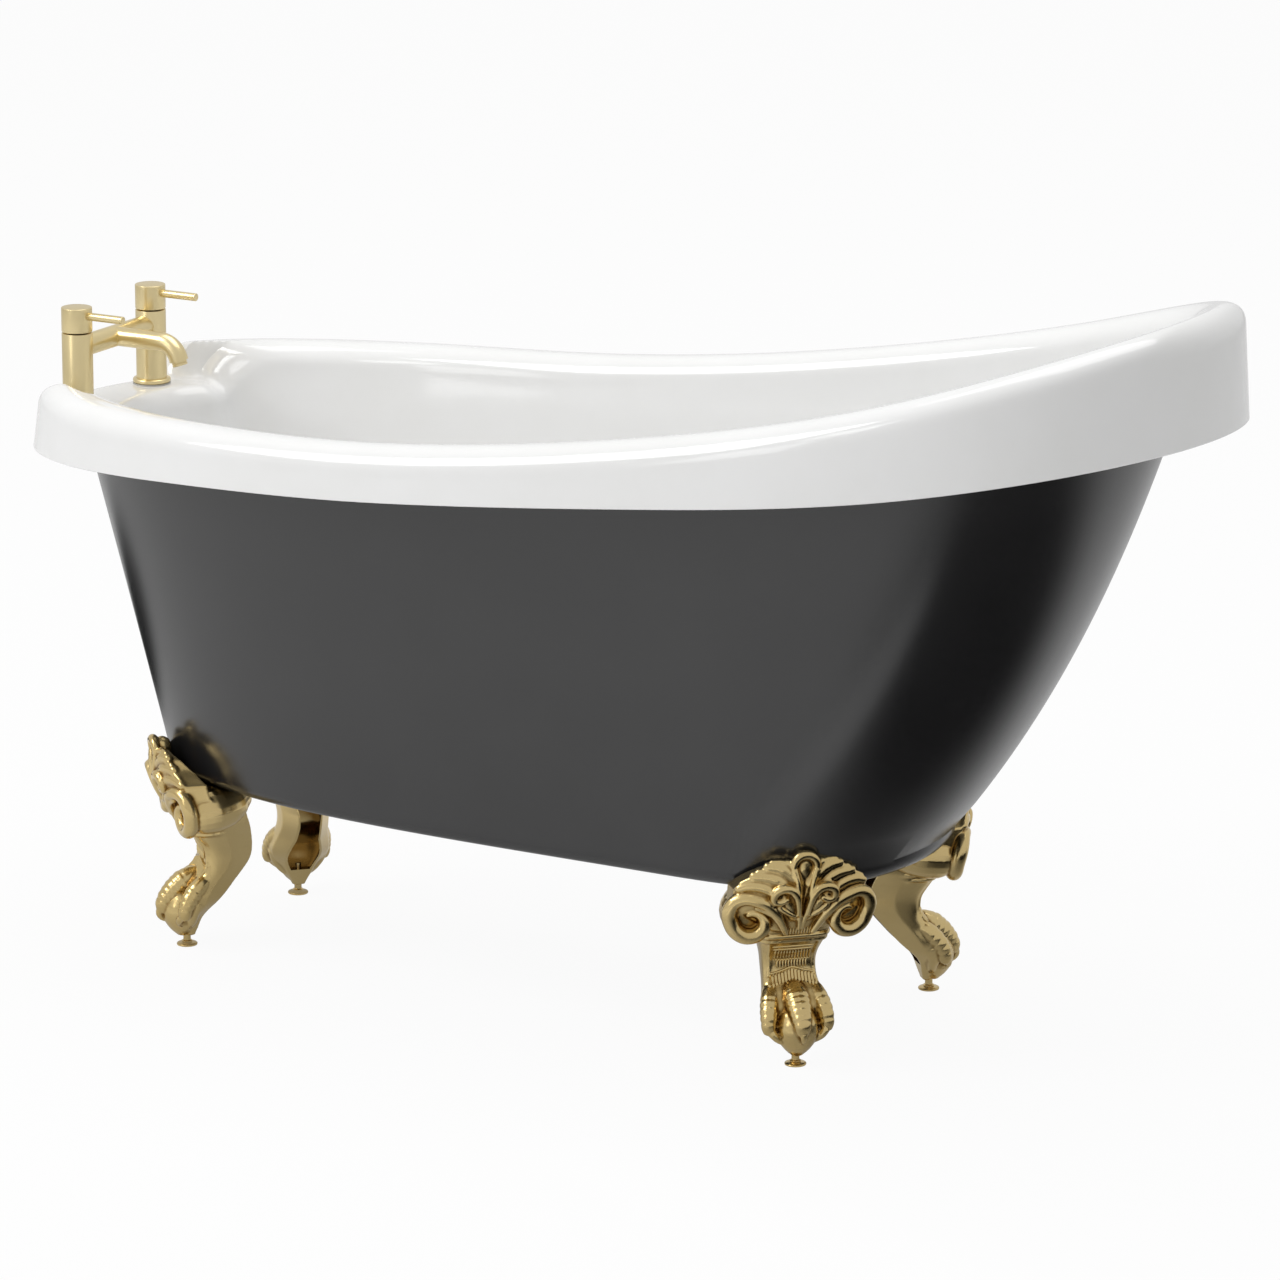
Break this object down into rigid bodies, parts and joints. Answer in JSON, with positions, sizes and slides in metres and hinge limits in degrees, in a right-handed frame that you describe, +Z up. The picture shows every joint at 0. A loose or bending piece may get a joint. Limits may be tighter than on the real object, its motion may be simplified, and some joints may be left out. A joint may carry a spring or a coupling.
{
  "type": "slipper bath",
  "caption": "Freestanding slipper bathtub with rolled white rim, dark outer skin, claw feet and a deck-mounted lever filler with waste, lifting plug and overflow.",
  "frame": {"origin": "centre of the bounding box on the floor plane", "axes": "+X along the tub from the tap end to the high slipper end, +Y across it away from the picture's near side, +Z up"},
  "size_m": [1.55, 0.63, 0.885],
  "materials": {
    "white_acrylic": "gloss",
    "black_acrylic": "satin gloss",
    "board": "raw chipboard",
    "bond": "cured resin",
    "cast_brass": "polished cast",
    "brushed_brass": "brushed",
    "zinc_steel": "zinc plated",
    "turned_brass": "turned",
    "rubber": "matt",
    "fibre": "vulcanised fibre",
    "grey_plastic": "moulded"
  },
  "bodies": {
    "tub": {"bath_shell": "white_acrylic", "outer_skin": "black_acrylic", "base_board": "board", "rim_bond": "bond", "foot_tap_near": "cast_brass", "foot_tap_far": "cast_brass", "foot_slipper_near": "cast_brass", "foot_slipper_far": "cast_brass", "foot_bolts": "zinc_steel", "foot_washers": "zinc_steel", "tee_nuts": "zinc_steel", "tap_pillar_near": "brushed_brass", "tap_valve_near": "brushed_brass", "tap_pillar_far": "brushed_brass", "tap_valve_far": "brushed_brass", "tap_base_rings": "brushed_brass", "tap_back_nuts": "brushed_brass", "tap_bridge": "brushed_brass", "tap_spout": "brushed_brass", "spout_aerator": "brushed_brass", "waste_body": "brushed_brass", "waste_nut": "brushed_brass", "overflow_rose": "brushed_brass", "tap_deck_seals": "rubber", "waste_top_seal": "rubber", "waste_lower_seal": "rubber", "overflow_seal": "rubber", "tap_fibre_washers": "fibre", "overflow_elbow": "grey_plastic", "overflow_pipe": "grey_plastic"},
    "handle_near": {"tap_handle_near": "brushed_brass", "tap_lever_near": "brushed_brass", "tap_spindle_near": "brushed_brass", "grub_screw_near": "zinc_steel"},
    "handle_far": {"tap_handle_far": "brushed_brass", "tap_lever_far": "brushed_brass", "tap_spindle_far": "brushed_brass", "grub_screw_far": "zinc_steel"},
    "plug": {"plug_cap": "brushed_brass", "plug_stem": "brushed_brass"},
    "leveller_tap_near": {"stem_tap_near": "turned_brass", "pad_tap_near": "turned_brass"},
    "leveller_tap_far": {"stem_tap_far": "turned_brass", "pad_tap_far": "turned_brass"},
    "leveller_slipper_near": {"stem_slipper_near": "turned_brass", "pad_slipper_near": "turned_brass"},
    "leveller_slipper_far": {"stem_slipper_far": "turned_brass", "pad_slipper_far": "turned_brass"}
  },
  "joints": [
    {"name": "handle_near_turn", "type": "hinge", "parent": "tub", "child": "handle_near", "pos_m": [-0.702, -0.0787, 0.743], "axis": [0, 0, 1], "range_deg": [-90, 0]},
    {"name": "handle_far_turn", "type": "hinge", "parent": "tub", "child": "handle_far", "pos_m": [-0.702, 0.0787, 0.743], "axis": [0, 0, 1], "range_deg": [0, 90]},
    {"name": "plug_lift", "type": "slide", "parent": "tub", "child": "plug", "axis": [0, 0, 1], "range_m": [0, 0.01]},
    {"name": "leveller_tap_near_slide", "type": "slide", "parent": "tub", "child": "leveller_tap_near", "axis": [0, 0, 1], "range_m": [-0.01, 0.006]},
    {"name": "leveller_tap_far_slide", "type": "slide", "parent": "tub", "child": "leveller_tap_far", "axis": [0, 0, 1], "range_m": [-0.01, 0.006]},
    {"name": "leveller_slipper_near_slide", "type": "slide", "parent": "tub", "child": "leveller_slipper_near", "axis": [0, 0, 1], "range_m": [-0.01, 0.006]},
    {"name": "leveller_slipper_far_slide", "type": "slide", "parent": "tub", "child": "leveller_slipper_far", "axis": [0, 0, 1], "range_m": [-0.01, 0.006]}
  ]
}
